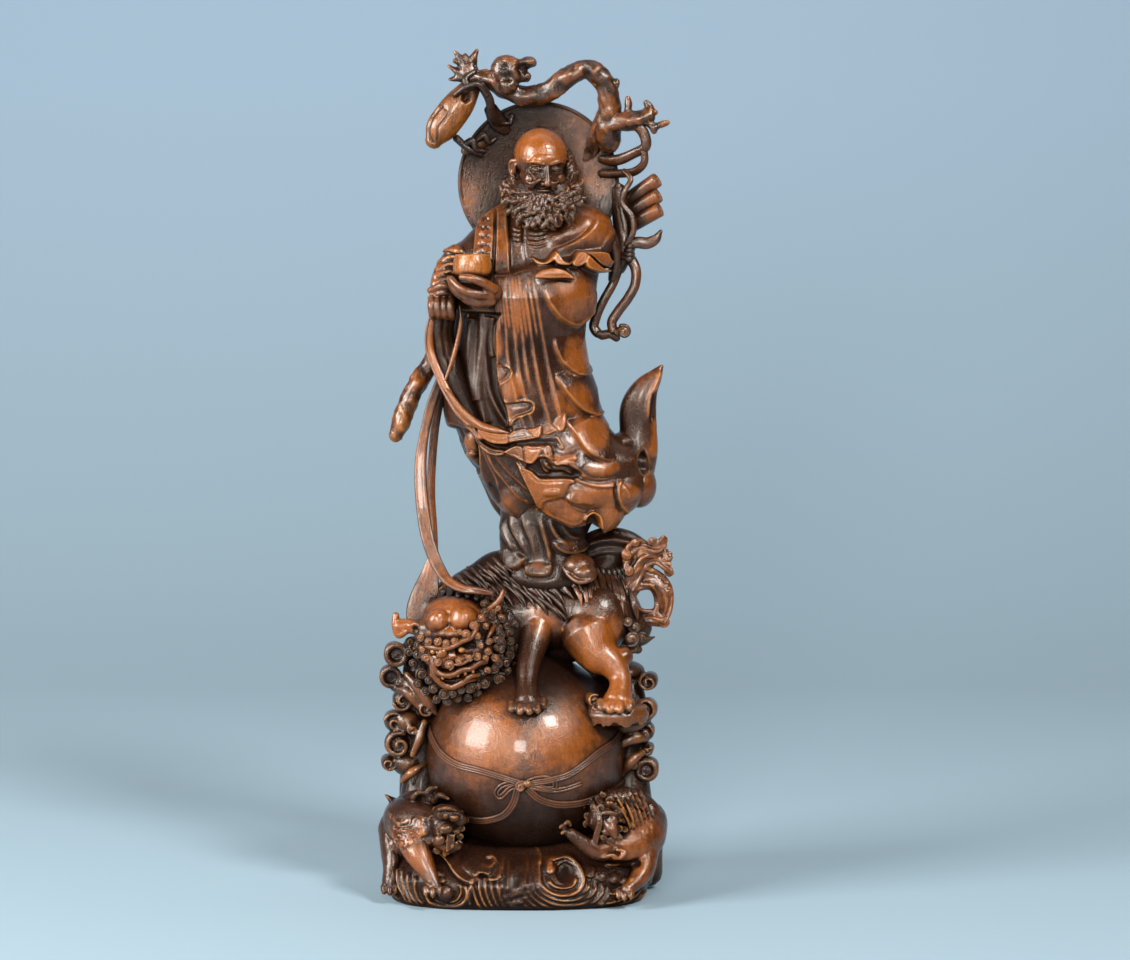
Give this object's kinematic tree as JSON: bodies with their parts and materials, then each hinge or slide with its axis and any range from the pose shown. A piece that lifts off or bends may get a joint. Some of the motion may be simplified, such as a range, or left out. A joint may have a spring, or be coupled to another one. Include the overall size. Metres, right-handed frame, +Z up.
{
  "type": "carved figure",
  "caption": "Carved boxwood figure of a bearded monk in a flowing robe on a guardian lion, which stands on a ribbon-tied ball over a wave base, with a bamboo hat and a gnarled staff at his back",
  "frame": {"origin": "on the ground under the middle of the carving, at the bottom centre of its bounding box", "axes": "+Z up along the figure's height, -Y to the front that the monk and the lion show, +X to the viewer's right"},
  "size_m": [0.106, 0.0745, 0.2999],
  "materials": {
    "boxwood": "satin"
  },
  "bodies": {
    "root": {"statue": "boxwood"}
  },
  "joints": []
}
